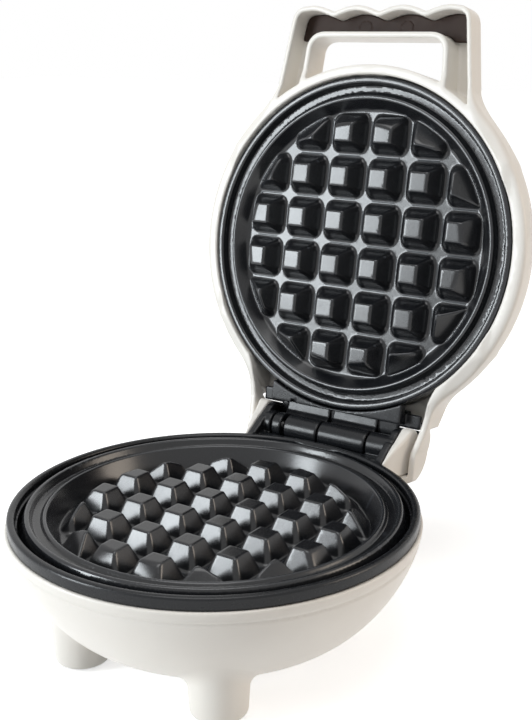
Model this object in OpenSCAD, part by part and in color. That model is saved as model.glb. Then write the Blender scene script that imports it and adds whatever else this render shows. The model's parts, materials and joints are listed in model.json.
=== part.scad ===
// Compact round waffle maker with an upright hinged lid and a loop handle.
// Millimetres, +Z up. The origin lies on the table, under the middle of the open appliance.
// The base faces -Y, the hinge is at +Y, and the lid is drawn in its open rest position.

/* [Cooking plates] */
// Distance between the middles of neighbouring studs
pitch = 15; // [14:0.1:15.5]
// Radius of the flat floor of a plate
floor_r = 46.3; // [45:0.1:47]
// Outer radius of a plate's sealing ring
ring_r = 56; // [55:0.1:57]
// Height of a stud above the floor
stud_h = 6.6; // [5:0.1:7]
// Width of a stud at its foot
stud_base = 12.9; // [12:0.1:13.5]
// Width of a stud at its flat top
stud_top = 6.5; // [5:0.1:8]
// Depth of the cavity in the base plate
base_depth = 8.2; // [7.5:0.1:9]
// Depth of the cavity in the lid plate
lid_depth = 6.4; // [6:0.1:7]
// Gap between the two sealing rings with the lid shut
steam_gap = 1.8; // [1.5:0.1:2.5]

/* [Base] */
// Outer radius of the black bezel round the base plate
bezel_r = 61; // [60.5:0.1:61.5]
// Height of the bezel's visible edge
bezel_h = 3.7; // [3:0.1:4.5]
// Largest radius of the bowl
bowl_r = 61.8; // [61.6:0.1:62.5]
// Radius at which the underside of the bowl turns flat
bowl_flat_r = 38.4; // [34:0.1:42]
// Height of the bowl
bowl_h = 31.6; // [30:0.1:34]
// Height of the bowl's underside above the table
foot_gap = 9.7; // [8:0.1:12]
// Radius of a moulded foot
foot_r = 8.4; // [8:0.1:9]
// Distance of a foot from the middle plane
foot_x = 25; // [24:0.5:26]
// Distance of a foot in front of or behind the plate's middle
foot_y = 33; // [32:0.5:34]

/* [Lid] */
// Radius of the lid shell at its open edge
lid_r = 60; // [59.5:0.1:60.5]
// Rise of the lid shell above its open edge
dome_h = 24.5; // [22:0.5:28]
// Height of the shell's open edge above the bezel with the lid shut
lid_edge = 3.7; // [3.5:0.1:4]
// Angle to which the lid opens
lid_open = 100.5; // [90:0.5:105]

/* [Handle] */
// Reach of the grip in front of the plate's middle
handle_reach = 79.3; // [78:0.1:81]
// Half width of the handle at its front corners
handle_half = 33; // [32:0.1:34]
// Half width of the handle where it meets the lid
handle_root = 37.5; // [36.5:0.1:38.5]
// Height of the handle
handle_h = 10.6; // [9.5:0.1:12]
// Depth of the finger waves
wave_depth = 2.2; // [1:0.1:3]
// Width of one finger wave
wave_pitch = 17.2; // [16.8:0.1:17.5]

/* [Hinge] */
// Distance of the hinge axis behind the plate's middle
hinge_back = 65.6; // [65.6:0.1:66]
// Height of the hinge axis above the bezel
hinge_up = 1.2; // [1:0.1:1.6]
// Radius of a hinge knuckle
barrel_r = 4.4; // [4:0.1:4.5]
// Half length of the row of knuckles
barrel_half = 23.5; // [23:0.1:24]
// Radius of the hinge pin
pin_r = 1.5; // [1.4:0.05:1.8]
// Half length of the hinge pin
pin_half = 32.3; // [32:0.1:32.6]

/* [Hidden] */

$fn = 96;
skin = 2.2;                     // wall of both housings
handle_wall = 1.7;              // wall of the handle's outer side
clear = 0.35;                   // gap between parts that move past each other
plate_y = -23.1;                // puts the origin under the middle of the open appliance
rim_z = foot_gap + bowl_h + bezel_h;
shut_floor = steam_gap + lid_depth;
plate_t = 3;                    // thickness of a plate's floor
flange_w = 1.7;                 // a plate's edge beyond its sealing ring
flange_drop = 7.4;              // from the sealing ring down to the flange's back
heater_r = 30;                  // ring radius of a heater
heater_tube = 3.2;
heater_level = -5;              // middle of the heater's tube, from the plate's floor
heater_gap = 30;                // half angle left open in the heater's ring
post_r = 4;                     // posts cast on the back of a plate
base_post = -12;                // their ends on the base plate, from its floor
lid_post = -5.4;                // their ends on the lid plate, from its floor
tab_t = 1.6;                    // tabs of the lid's frame
tab_r = 3.8;
screw_r = 1.45;
screw_hole = 1.8;
shield_t = 0.6;
pad_r = 6.3;
pad_t = 2;
foot_end = 0.8;                 // the foot ends this far above the table
inlet_z = -21;                  // height of the cord inlet from the bezel's top
inlet_half = 4.6;               // half width of its square body
inlet_bore = 3.6;
inlet_end = 60.6;               // its flange, from the plate's middle

knuckle_gap = 0.6;              // gap between neighbouring knuckles
long_end = 17.6;                // outer end of the lid's knuckles
tower_out = 26.3;               // outer face of the bezel's hinge towers
tower_round = 7.2;              // radius of the towers round the axis
ear_round = 8.3;                // radius of the ears round the axis
cheek_in = 31.3;                // inner face of the lid's cheeks at the hinge
cheek_out = 33.5;
cheek_round = 8.8;
neck_in = 9.2;                  // inner radius of the lid's rear wall round the axis
neck_out = 11.2;

grip_w = 10.6;                  // grip from the crest of a wave to the hand hole
hole_half = 24.8;               // half width of the hand hole at its root
hole_taper = 1.6;
frame_w = 2;                    // wall round the hand hole
grip_z = lid_edge + 4.2;        // height of the strip inside the grip
grip_screws = [[-7.8, -73.2], [7.8, -73.2]];
grip_head = 2.3;
frame_corner = 5;

foot_places = [for (sx = [-1, 1], sy = [-1, 1]) [sx * foot_x, sy * foot_y]];
plate_tabs = [for (a = [30, 150, 210, 330]) 46 * [cos(a), sin(a)]];
shell_tabs = [for (a = [58, 122, 238, 302]) 48.5 * [cos(a), sin(a)]];
heater_ends = [for (a = [-heater_gap, heater_gap]) heater_r * [-sin(a), cos(a)]];
shut_back = steam_gap + flange_drop;            // back of the lid plate's flange
tab_z = shut_floor - lid_post + shield_t;       // plate side of the frame's tabs
lamp_z = 21.8;                                  // height of the indicator lamp with the lid shut

// ---------- frames ----------

module on_base() translate([0, plate_y, rim_z]) children();

// Draws a piece given in the shut position at the lid's open position
module on_lid() on_base()
    translate([0, hinge_back, hinge_up])
        rotate([-lid_open, 0, 0])
            translate([0, -hinge_back, -hinge_up]) children();

module both_sides() {
    children();
    mirror([1, 0, 0]) children();
}

module at(places) for (p = places) translate([p.x, p.y, 0]) children();

// A bar along X, round the hinge axis
module axle(r, x0, x1)
    translate([x0, hinge_back, hinge_up]) rotate([0, 90, 0]) cylinder(r = r, h = x1 - x0);

// A prism along X over an outline given as [y, z] points
module prism_x(x0, x1, outline)
    translate([x0, 0, 0]) rotate([90, 0, 90]) linear_extrude(x1 - x0) polygon(outline);

// ---------- cooking plates ----------

// Section of a plate: [radius, height above its floor], cooking side up
function plate_section(depth) = let (lip = depth - 1, gutter = depth - 2.2) [
    [0, 0], [floor_r, 0],
    [floor_r + 3.2, lip - 0.5], [floor_r + 3.6, lip], [floor_r + 4.3, lip],
    [floor_r + 5.1, gutter], [ring_r - 2.4, gutter],
    [ring_r - 1.6, depth - 0.4], [ring_r - 1.2, depth], [ring_r - 0.4, depth],
    [ring_r, depth - 0.4], [ring_r + flange_w, depth - 5.4],
    [ring_r + flange_w, depth - flange_drop], [ring_r - 4, depth - flange_drop],
    [floor_r + 1.5, -plate_t], [0, -plate_t]];

// Six tapered bars along Y; two crossed sets leave the studs
module stud_bars() for (i = [-2.5 : 2.5]) translate([i * pitch, 0, 0])
    rotate([90, 0, 0]) linear_extrude(6 * pitch, center = true)
        polygon([[-stud_base / 2, -1], [stud_base / 2, -1], [stud_base / 2, 0],
                 [stud_top / 2, stud_h], [-stud_top / 2, stud_h], [-stud_base / 2, 0]]);

module studs() intersection() {
    stud_bars();
    rotate([0, 0, 90]) stud_bars();
    translate([0, 0, -1]) cylinder(r1 = floor_r + 0.6, r2 = floor_r - 5.6, h = stud_h + 2);
}

module cast_plate(depth, posts, post_end) {
    difference() {
        union() {
            rotate_extrude() polygon(plate_section(depth));
            // ridge that holds the heater
            rotate_extrude() translate([heater_r, 0]) polygon([
                [-5, 0.5 - plate_t], [5, 0.5 - plate_t], [4, heater_level - 0.6], [-4, heater_level - 0.6]]);
            at(posts) translate([0, 0, post_end]) cylinder(r = post_r, h = -post_end - 1, $fn = 32);
        }
        rotate_extrude() translate([heater_r, heater_level]) circle(r = heater_tube + 0.05, $fn = 32);
        at(heater_ends) translate([0, 0, heater_level - 5])
            cylinder(r = heater_tube + 0.45, h = 7.1, $fn = 32);
        at(posts) translate([0, 0, post_end - 1]) cylinder(r = screw_r + 0.05, h = -post_end, $fn = 24);
    }
    studs();
}

// Tubular ring, open at the back, with a terminal at each end
module heater() {
    rotate([0, 0, 90 + heater_gap]) rotate_extrude(angle = 360 - 2 * heater_gap)
        translate([heater_r, 0]) circle(r = heater_tube, $fn = 32);
    at(heater_ends) {
        translate([0, 0, -4.6]) cylinder(r = heater_tube + 0.2, h = 6.6, $fn = 32);
        translate([0, 0, -9]) cylinder(r = 1.2, h = 5, $fn = 24);
    }
}

module heater_beads() at(heater_ends) translate([0, 0, -7.7]) difference() {
    cylinder(r = 2.8, h = 3, $fn = 24);
    translate([0, 0, -1]) cylinder(r = 1.25, h = 6, $fn = 24);
}

// Screw with its head's underside at z = 0 and its thread upwards
module screw(length) {
    cylinder(r = screw_r, h = length, $fn = 24);
    translate([0, 0, -2.2]) difference() {
        cylinder(r = 2.9, h = 2.2, $fn = 24);
        for (a = [0, 90]) rotate([0, 0, a]) cube([3.6, 0.7, 2], center = true);
    }
}

// ---------- base ----------

// Bowl outline as [radius, height from the bezel's top]; inset moves it inwards
function bowl_line(inset) = let (n = 16, m = 1.53) [for (i = [0 : n]) let (t = i / n)
    [bowl_flat_r + (bowl_r - bowl_flat_r) * pow(1 - pow(t, m), 1 / m) - inset,
     -bezel_h - (bowl_h - inset) * t]];

module bowl_solid(inset) rotate_extrude()
    polygon(concat([[0, -bezel_h + (inset > 0 ? 2 : 0)],
                    [bowl_r - inset, -bezel_h + (inset > 0 ? 2 : 0)]],
                   bowl_line(inset), [[0, -bezel_h - bowl_h + inset]]));

// Side view of an ear: a slope up from the bezel, rounded off behind the axis
ear_slope = [[51, -16], [53.5, -0.6], [56, 0.6], [69.6, 8.5], [76, 8.5], [76, -16]];
ear_front = [[51, -16], [53.5, -0.6], [56, 0.6], [62.4, 4.3], [62.4, -16]];

module ear_block(x0, x1, r) {
    intersection() {
        prism_x(x0, x1, ear_slope);
        axle(r, x0, x1);
    }
    prism_x(x0, x1, ear_front);
}

// The ear's plan leans outwards towards the back
module ear() intersection() {
    ear_block(24, cheek_in - clear, ear_round);
    translate([0, 0, -20]) linear_extrude(40)
        polygon([[tower_out + 0.2, 50], [tower_out + 0.2, 76], [30.9, 76], [30.9, 70],
                 [28.2, 58], [27.2, 54], [27.2, 50]]);
}

module base_housing() on_base() color("ivory") difference() {
    union() {
        difference() {
            union() {
                bowl_solid(0);
                at(foot_places) translate([0, 0, foot_end - rim_z]) cylinder(r = foot_r, h = 22, $fn = 48);
            }
            bowl_solid(skin);
        }
        intersection() {
            at(foot_places) translate([0, 0, foot_end - rim_z]) cylinder(r = 4.6, h = rim_z, $fn = 32);
            translate([-60, -60, -bezel_h - bowl_h]) cube([120, 120, boss_top() + bezel_h + bowl_h]);
        }
        intersection() {
            both_sides() ear();
            difference() {
                translate([-60, 40, -16]) cube([120, 60, 40]);
                bowl_solid(skin);
            }
        }
        // boss that carries the cord inlet
        intersection() {
            translate([0, 66, inlet_z]) rotate([90, 0, 0]) cylinder(r = inlet_half + 4, h = 20, $fn = 48);
            difference() {
                translate([-20, 40, -40]) cube([40, inlet_end - 40.1, 40]);
                bowl_solid(skin + 1.5);
            }
        }
    }
    // recess for the pad, well for the screw head and its hole
    at(foot_places) translate([0, 0, -rim_z]) {
        cylinder(r = pad_r + 0.1, h = pad_t, $fn = 48);
        cylinder(r = 3.4, h = 11.5, $fn = 32);
        cylinder(r = screw_hole, h = rim_z, $fn = 24);
    }
    // seat of the hinge block
    translate([-tower_out - 0.1, 52, -9.6]) cube([2 * tower_out + 0.2, 30, 12]);
    let (half = inlet_half + 0.05) translate([-half, 45, inlet_z - half]) cube([2 * half, 25, 2 * half]);
    // seam line under the bezel
    rotate_extrude() translate([bowl_r - 0.6, -7.6]) square([1.6, 0.5]);
    both_sides() axle(pin_r + 0.02, 20, cheek_in);
    // the bezel's own space
    translate([0, 0, -bezel_h]) cylinder(r = bezel_r + 0.1, h = 20);
}

function boss_top() = -base_depth + base_post - shield_t;

module foot_pads() on_base() color("dimgray")
    at(foot_places) translate([0, 0, -rim_z]) cylinder(r = pad_r, h = pad_t, $fn = 48);

module base_screws() on_base() color("silver")
    at(foot_places) translate([0, 0, 11.5 - rim_z]) screw(rim_z - 11.5 - base_depth + base_post + 6);

// Black ring round the plate, with the block that carries the base's knuckles
module base_bezel() on_base() color("black") {
    difference() {
        union() {
            rotate_extrude() polygon([
                [58.6, -2.6], [58.6, -0.5], [59.1, 0], [bezel_r - 0.6, 0], [bezel_r, -0.6],
                [bezel_r, -bezel_h], [bowl_r - skin - 0.2, -bezel_h], [bowl_r - skin - 0.2, -5],
                [bowl_r - skin - 1.7, -9.4],
                [ring_r - 3, -9.4], [ring_r - 3, -flange_drop], [ring_r + flange_w + 0.2, -flange_drop],
                [ring_r + flange_w + 0.2, -2.6]]);
            intersection() {
                prism_x(-tower_out, tower_out, [[58, -9.4], [58, -1.2], [61, -0.8], [76, -0.8], [76, -9.4]]);
                union() {
                    axle(ear_round, -tower_out, tower_out);
                    translate([-tower_out, 50, -9.4]) cube([2 * tower_out, 11.2, 9]);
                }
            }
            both_sides() {
                axle(barrel_r, long_end + knuckle_gap, tower_out);
                difference() {
                    ear_block(barrel_half + 0.2, tower_out, tower_round);
                    bowl_cut();
                }
            }
        }
        axle(barrel_r + 0.5, -long_end - knuckle_gap, long_end + knuckle_gap);
        axle(pin_r + 0.02, -40, 40);
        // the plate's own space
        translate([0, 0, -flange_drop]) cylinder(r = ring_r + flange_w + 0.2, h = 20);
    }
}

// Space below the bezel's seat, which belongs to the bowl
module bowl_cut() translate([-40, 40, -40]) cube([80, 60, 40 - 9.4]);

module base_plate() on_base() color("#26282b")
    translate([0, 0, -base_depth]) cast_plate(base_depth, foot_places, base_post);

module base_heater() on_base() color("gray") translate([0, 0, heater_level - base_depth]) heater();

module base_heater_beads() on_base() color("white")
    translate([0, 0, heater_level - base_depth]) heater_beads();

// Disc clamped between the plate's posts and the bowl's bosses
module base_heat_shield() on_base() color("silver") translate([0, 0, boss_top()]) difference() {
    cylinder(r = 49, h = shield_t);
    at(foot_places) translate([0, 0, -1]) cylinder(r = screw_hole, h = 3, $fn = 24);
    at(heater_ends) translate([0, 0, -1]) cylinder(r = 4.4, h = 3, $fn = 24);
}

// Bimetal disc with its cap and two tabs, pressed to the back of the plate
module thermostat() on_base() color("tan") translate([0, 8, -base_depth - plate_t]) {
    translate([0, 0, -5.5]) cylinder(r = 8, h = 5.5, $fn = 48);
    for (x = [-4.5, 4.5]) translate([x - 0.4, -3, -8.4]) cube([0.8, 6, 3]);
}

// Sleeved fuse clipped beside the heater
module thermal_fuse() on_base() color("white")
    translate([-9, -14, -base_depth - plate_t - 2.1]) rotate([0, 90, 0]) {
        cylinder(r = 2.1, h = 18, $fn = 32);
        translate([0, 0, -4]) cylinder(r = 0.6, h = 26, $fn = 16);
    }

module terminal_block() on_base() color("beige") translate([0, 28, -bezel_h - bowl_h + skin]) difference() {
    translate([-10, -5, 0]) cube([20, 10, 9]);
    for (x = [-5, 5]) {
        translate([x, 10, 4.5]) rotate([90, 0, 0]) cylinder(r = 1.7, h = 20, $fn = 24);
        translate([x, 0, 4]) cylinder(r = 1.5, h = 10, $fn = 24);
    }
}

// A wire through a list of points: one eight-sided bar for each stretch
module wire(points, r) for (i = [1 : len(points) - 1]) {
    span = points[i] - points[i - 1];
    translate(points[i - 1]) rotate([0, acos(span.z / norm(span)), atan2(span.y, span.x)])
        translate([0, 0, -r / 2]) cylinder(r = r, h = norm(span) + r, $fn = 8);
}

// Leads from the block to the heater's terminals
module base_leads() on_base() color("white") both_sides()
    wire([[5, 21.6, -28.6], [12, 20.6, -28.2], [15, 25.6, -26.7]], 1.2);

// Bush in the back wall where the mains lead enters, square so that it can't turn
module cord_inlet() on_base() color("dimgray") translate([0, inlet_end, inlet_z]) difference() {
    union() {
        translate([-inlet_half, -8.6, -inlet_half]) cube([2 * inlet_half, 9, 2 * inlet_half]);
        rotate([-90, 0, 0]) cylinder(r = inlet_half + 2.8, h = 1.6, $fn = 48);
    }
    translate([0, 5, 0]) rotate([90, 0, 0]) cylinder(r = inlet_bore, h = 20, $fn = 48);
}

module hinge_pin() on_base() color("silver") axle(pin_r, -pin_half, pin_half);

// ---------- lid ----------

// Dome outline as [radius, height]; inset moves it inwards
function dome_line(inset) = let (n = 16, e = 2 / 2.6) [for (i = [0 : n]) let (a = 90 * i / n)
    [(lid_r - inset) * pow(cos(a), e), lid_edge + (dome_h - inset) * pow(sin(a), e)]];

module dome_solid(inset) rotate_extrude()
    polygon(concat([[0, lid_edge - (inset > 0 ? 2 : 0)], [lid_r - inset, lid_edge - (inset > 0 ? 2 : 0)]],
                   dome_line(inset)));

// Front edge of the handle at x, with its waves; inset moves it inwards
function wave_y(x, inset) = inset - handle_reach
    + wave_depth * (1 - abs(sin(180 * x / wave_pitch)));

// Points on a curve from a to c that is pulled towards b
function bend(a, b, c, n) = [for (i = [0 : n]) let (t = i / n, u = 1 - t)
    a * u * u + b * 2 * t * u + c * t * t];

// Right half of the handle's plan, from the middle of the front to the lid
function handle_side(inset) = let (
        corner = 5,
        w = handle_half - inset,
        y0 = inset - handle_reach)
    concat([for (x = [0 : 1 : w - corner - 0.5]) [x, wave_y(x, inset)]],
           bend([w - corner, wave_y(w - corner, inset)], [w + 0.2, y0 + 0.4], [w + 0.6, y0 + 6], 5),
           bend([handle_root - inset - 0.8, -52], [handle_root - inset + 1, -41],
                [50.5 - inset, -30], 6),
           [[50.5 - inset, -10], [0, -10]]);

module handle_plan(inset, z0, z1) both_sides()
    translate([0, 0, z0]) linear_extrude(z1 - z0) polygon(handle_side(inset));

// Rounded outside of the handle, built up in layers: [inset, top]
handle_layers = [[0, 6], [0.4, 7.6], [1.2, 9], [2.4, 10], [4.2, 10.6]];

module handle_outside() {
    for (layer = handle_layers)
        handle_plan(layer[0], lid_edge, lid_edge + layer[1] * handle_h / 10.6);
}

// Plan of the hand hole, grown by g
module hole_plan(g, z0, z1) translate([0, 0, z0]) linear_extrude(z1 - z0)
    let (back = -handle_reach + grip_w - g, c = frame_corner) polygon(concat(
        [[-hole_half - g - hole_taper, -42], [hole_half + g + hole_taper, -42]],
        bend([hole_half + g, back + c], [hole_half + g, back], [hole_half + g - c, back], 5),
        bend([c - hole_half - g, back], [-hole_half - g, back], [-hole_half - g, back + c], 5)));

// Plan of the lid's rear neck, right half
function neck_side(inset) = concat([[0, 10], [50.5 - inset, 10], [50.5 - inset, 30]],
    bend([50.5 - inset, 30], [38.5 - inset, 41], [36.6 - inset, 50], 6),
    [[cheek_out - inset, 66], [cheek_out - inset, 80], [0, 80]]);

// Side view of the neck: a slope down from the dome to a round over the hinge
module neck_body(inset) intersection() {
    both_sides() translate([0, 0, -20]) linear_extrude(60) polygon(neck_side(inset));
    union() {
        prism_x(-60, 60, [[10, lid_edge - (inset > 0 ? 9 : 0)], [10, 21 - inset], [45, 18.2 - inset],
                          [69, 11.9 - inset], [69, lid_edge - (inset > 0 ? 9 : 0)]]);
        intersection() {
            axle(inset > 0 ? neck_in : neck_out, -60, 60);
            translate([-60, hinge_back - 4, inset > 0 ? hinge_up - 12 : hinge_up]) cube([120, 30, 30]);
        }
    }
}

module lid_shell() on_lid() color("ivory") difference() {
    union() {
        difference() {
            union() {
                dome_solid(0);
                difference() {
                    handle_outside();
                    // channel of the grip, open towards the base
                    difference() {
                        handle_plan(handle_wall, lid_edge - 1, lid_edge + handle_h - 2);
                        hole_plan(frame_w, lid_edge - 2, 20);
                        translate([0, 0, -5]) cylinder(r = lid_r, h = 30);
                    }
                    difference() {
                        hole_plan(0, 0, 30);
                        translate([0, 0, -5]) cylinder(r = lid_r, h = 40);
                    }
                }
                neck_body(0);
                both_sides() axle(cheek_round, cheek_in, cheek_out);
            }
            // inside of the dome and of the neck, and the seat of the plate's edge
            dome_solid(skin);
            neck_body(skin);
            cylinder(r = ring_r + flange_w + 0.15, h = shut_back + 0.1);
        }
        lid_bosses();
        // socket of the indicator lens
        translate([0, 0, lid_edge + dome_h - 3.6]) cylinder(r = 6, h = 2, $fn = 48);
    }
    both_sides() axle(pin_r + 0.05, cheek_in - 3, pin_half + 0.2);
    at(shell_tabs) translate([0, 0, tab_z]) cylinder(r = screw_r + 0.05, h = 5.4, $fn = 24);
    at(grip_screws) cylinder(r = 1.25, h = grip_z + 5.8, $fn = 24);
    translate([0, 0, lid_edge + dome_h - 8]) cylinder(r = 4.05, h = 12, $fn = 48);
}

// Posts inside the dome that take the frame's screws
module lid_bosses() intersection() {
    at(shell_tabs) translate([0, 0, tab_z + tab_t]) cylinder(r = 3.4, h = 20, $fn = 32);
    dome_solid(0.5);
}

module handle_insert() on_lid() color("#3a2b26") intersection() {
    difference() {
        handle_plan(handle_wall + 0.15, grip_z, lid_edge + handle_h - 2.1);
        hole_plan(frame_w + 0.15, lid_edge - 2, 20);
    }
    difference() {
        translate([-40, -90, 0]) cube([80, 21.5, 30]);
        at(grip_screws) {
            cylinder(r = grip_head + 0.2, h = grip_z + 1.4, $fn = 32);
            cylinder(r = 1.3, h = 20, $fn = 24);
        }
    }
}

// Two screws sunk in the insert
module handle_screws() on_lid() color("#332622") at(grip_screws) translate([0, 0, grip_z + 0.3]) {
    cylinder(r = grip_head, h = 1.1, $fn = 32);
    cylinder(r = 1.2, h = 5.4, $fn = 24);
}

// Ring behind the lid plate's edge, with tabs for the screws and the hinge bracket
module lid_frame() on_lid() color("black") difference() {
    union() {
        rotate_extrude() polygon([[53, shut_back + 0.2], [56.8, shut_back + 0.2], [55.5, 12], [54, 14],
                                  [52.9, 15.2], [51.8, 15.2], [51.8, tab_z - 0.4], [53, tab_z - 1.4]]);
        for (p = concat(plate_tabs, shell_tabs))
            rotate([0, 0, atan2(p.y, p.x)]) translate([norm(p), 0, tab_z]) {
                cylinder(r = tab_r, h = tab_t, $fn = 32);
                translate([0, -tab_r, 0]) cube([52.3 - norm(p), 2 * tab_r, tab_t]);
            }
        hinge_bracket();
    }
    at(concat(plate_tabs, shell_tabs)) translate([0, 0, tab_z - 3])
        cylinder(r = screw_hole, h = 8, $fn = 24);
    axle(pin_r + 0.05, -30, 30);
}

// Flange below the plate with the lid's two knuckles
module hinge_bracket() difference() {
    union() {
        prism_x(-25.5, 25.5, [[44, 2.9], [58.2, 2.9], [58.2, 6.2], [57.4, 6.2], [57.4, 11.4],
                              [53.6, 11.4], [53.6, 6.2], [44, 6.2]]);
        prism_x(-23.3, 23.3, [[57, 4.3], [60.4, 4.3], [60.4, 6], [57, 6]]);
        both_sides() {
            axle(barrel_r, knuckle_gap / 2, long_end);
            prism_x(knuckle_gap / 2, long_end, [[58, 3.4], [hinge_back, 3.4], [hinge_back, 5.2],
                                                [59.5, 5.8], [58, 5.8]]);
        }
    }
    // room for the plate's edge
    translate([0, 0, -1]) cylinder(r = ring_r + flange_w + 0.15, h = shut_back + 1.05);
    // notch in the flange's lip
    translate([-17.2, 56.6, 0]) cube([1.8, 3, 4]);
}

module lid_frame_screws() on_lid() color("silver")
    at(shell_tabs) translate([0, 0, tab_z]) screw(tab_t + 3.6);

module lid_plate() on_lid() color("#26282b")
    translate([0, 0, shut_floor]) mirror([0, 0, 1]) cast_plate(lid_depth, plate_tabs, lid_post);

module lid_plate_screws() on_lid() color("silver")
    at(plate_tabs) translate([0, 0, tab_z + tab_t]) mirror([0, 0, 1]) screw(6);

module lid_heater() on_lid() color("gray")
    translate([0, 0, shut_floor - heater_level]) mirror([0, 0, 1]) heater();

module lid_heater_beads() on_lid() color("white")
    translate([0, 0, shut_floor - heater_level]) mirror([0, 0, 1]) heater_beads();

// Pan over the heater, its rim clamped under the frame's tabs
module lid_heat_shield() on_lid() color("silver") difference() {
    rotate_extrude() let (edge = tab_z, crown = shut_floor - heater_level + heater_tube + 0.9) polygon([
        [0, crown], [36, crown], [41, edge - shield_t], [49, edge - shield_t], [49, edge],
        [41.4, edge], [36.4, crown + shield_t], [0, crown + shield_t]]);
    at(plate_tabs) translate([0, 0, 10]) cylinder(r = screw_hole, h = 10, $fn = 24);
    at(shell_tabs) translate([0, 0, 10]) cylinder(r = 4, h = 10, $fn = 24);
    at(heater_ends) translate([0, 0, 10]) cylinder(r = 4.4, h = 15, $fn = 24);
}

module lid_leads() on_lid() color("white") both_sides()
    wire([[14, 31, 20.4], [12, 38, 19.6], [8, 44.5, 17.2], [6.5, 48, 15.9]], 1.2);

// Domed lens on top of the lid, its lamp and the clip that holds the lamp
module indicator_lens() on_lid() color("orange")
    translate([0, 0, lid_edge + dome_h - 3.6]) cylinder(r = 4, h = 4.2, $fn = 48);

module indicator_lamp() on_lid() color("orangered")
    translate([-4, 0, lamp_z]) rotate([0, 90, 0]) cylinder(r = 1.6, h = 10, $fn = 24);

module lamp_holder() on_lid() color("white")
    translate([-8, -3, lamp_z - 2.2]) cube([4, 6, 4.4]);

base_housing();
foot_pads();
base_screws();
base_bezel();
base_plate();
base_heater();
base_heater_beads();
base_heat_shield();
thermostat();
thermal_fuse();
terminal_block();
base_leads();
cord_inlet();
hinge_pin();
lid_shell();
handle_insert();
handle_screws();
lid_frame();
lid_frame_screws();
lid_plate();
lid_plate_screws();
lid_heater();
lid_heater_beads();
lid_heat_shield();
lid_leads();
indicator_lens();
indicator_lamp();
lamp_holder();
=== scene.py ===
"""A compact round waffle maker: the looks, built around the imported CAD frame.

Moulded and cast pieces are modelled as distance fields in millimetres, with the fillets that such
pieces have, and turned into meshes. Base pieces use the base's own frame: its origin is in the
middle of the base plate, with z = 0 at the top of the bezel. Lid pieces are drawn shut in that same
frame and opened last.
"""
import json
import math

import bpy
import numpy as np
from mathutils import Matrix, Vector


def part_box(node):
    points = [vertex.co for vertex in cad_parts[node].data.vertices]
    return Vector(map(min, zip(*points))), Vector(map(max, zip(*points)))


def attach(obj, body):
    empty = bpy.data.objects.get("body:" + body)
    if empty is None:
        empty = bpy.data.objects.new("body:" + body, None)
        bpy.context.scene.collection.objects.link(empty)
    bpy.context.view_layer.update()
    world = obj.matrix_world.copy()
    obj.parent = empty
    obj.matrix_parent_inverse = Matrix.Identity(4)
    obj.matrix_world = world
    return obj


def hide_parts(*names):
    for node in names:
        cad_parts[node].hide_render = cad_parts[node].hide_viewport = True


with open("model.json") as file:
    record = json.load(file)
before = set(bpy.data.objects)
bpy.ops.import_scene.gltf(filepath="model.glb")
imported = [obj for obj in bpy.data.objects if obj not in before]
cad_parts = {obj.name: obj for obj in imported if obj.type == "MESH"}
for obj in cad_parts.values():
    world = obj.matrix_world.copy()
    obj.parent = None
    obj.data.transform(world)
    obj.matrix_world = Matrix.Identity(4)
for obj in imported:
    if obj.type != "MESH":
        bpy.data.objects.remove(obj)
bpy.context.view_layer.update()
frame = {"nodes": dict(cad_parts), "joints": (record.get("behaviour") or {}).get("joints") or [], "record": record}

MM = 0.001

# ---------- driving dimensions, in millimetres and degrees, as in the CAD ----------

PITCH = 15.0            # of the studs
FLOOR_R = 46.3          # reach of the studs
PLATE_T = 3.0
STUD_H = 6.6
STUD_BASE = 12.9
STUD_TOP = 6.5
STUD_CORNER = 2.3       # radius of a stud's corners at its foot
STUD_TIGHTEN = 0.27     # what that radius loses for each millimetre of height
MOUTH_SLOPE = 0.85      # run of the cone that trims the outer studs, for each millimetre of height
BASE_DEPTH = 8.2        # of the base plate's floor below the bezel
SHUT_FLOOR = 8.2        # of the shut lid's floor above it
# From the floor outwards: sloping wall, lip, gutter, ring and edge,
# as (radius, height above the floor)
BASE_RINGS = [(46.3, 0), (49.5, 6.7), (49.7, 7.05), (50.0, 7.2), (50.4, 7.15), (50.7, 6.9),
              (51.4, 6.0), (53.6, 6.0), (54.4, 7.8), (54.8, 8.2), (55.6, 8.2), (56.0, 7.8),
              (57.7, 2.8), (57.7, 0.8), (52, 0.8)]
LID_RINGS = [(45.6, 0), (48.5, 3.5), (48.75, 3.85), (49.1, 4.0), (49.7, 4.0), (50.05, 3.8),
             (51.1, 1.5), (53.3, 1.5), (53.9, 3.7), (54.1, 4.1), (54.5, 4.3), (55.7, 4.3),
             (56.1, 4.1), (56.2, 3.8), (56.5, 1.0), (56.5, -1.0), (52, -1.0)]
SEAT_R = 56.7           # opening of the lid shell round its plate

BEZEL_R = 61.0
BEZEL_H = 3.7
BEZEL_IN = 53.0         # reach of the bezel's inner flange
WELL_R = 57.9           # opening of the bezel round the base plate
WELL_FLOOR = -7.4       # height of the inner flange
BEZEL_LOW = -9.4        # underside of the bezel and of its hinge block
BOWL_R = 61.8
BOWL_FLAT_R = 38.4
BOWL_H = 31.6
BOWL_CURVE = 1.53       # exponent of the bowl's outline
SKIN = 2.2              # wall of the housings
SEAM_Z = -7.3           # height of the fine groove round the bowl
FOOT_X, FOOT_Y = 25.0, 33.0
FOOT_R = 8.4
FOOT_END = 0.8          # the moulded foot ends this far above the table
PAD_R = 6.3
INLET_Z = -21.0
INLET_HALF = 4.6        # half width of the bush's square body
BOSS_WALL = 4.0         # of the boss round the bush
BOSS_FRONT, BOSS_BACK = 40, 60.5
BUSH_FRONT = 45

LID_R = 60.0            # reach of the hand hole towards the lid
LID_EDGE = 3.7
LID_TOP = 28.2
DOME_R = 61.0
DOME_Z = 8.5            # height of the dome's widest line
DOME_CURVE = 2.5        # exponent of its outline
LENS_R = 4.0

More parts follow.
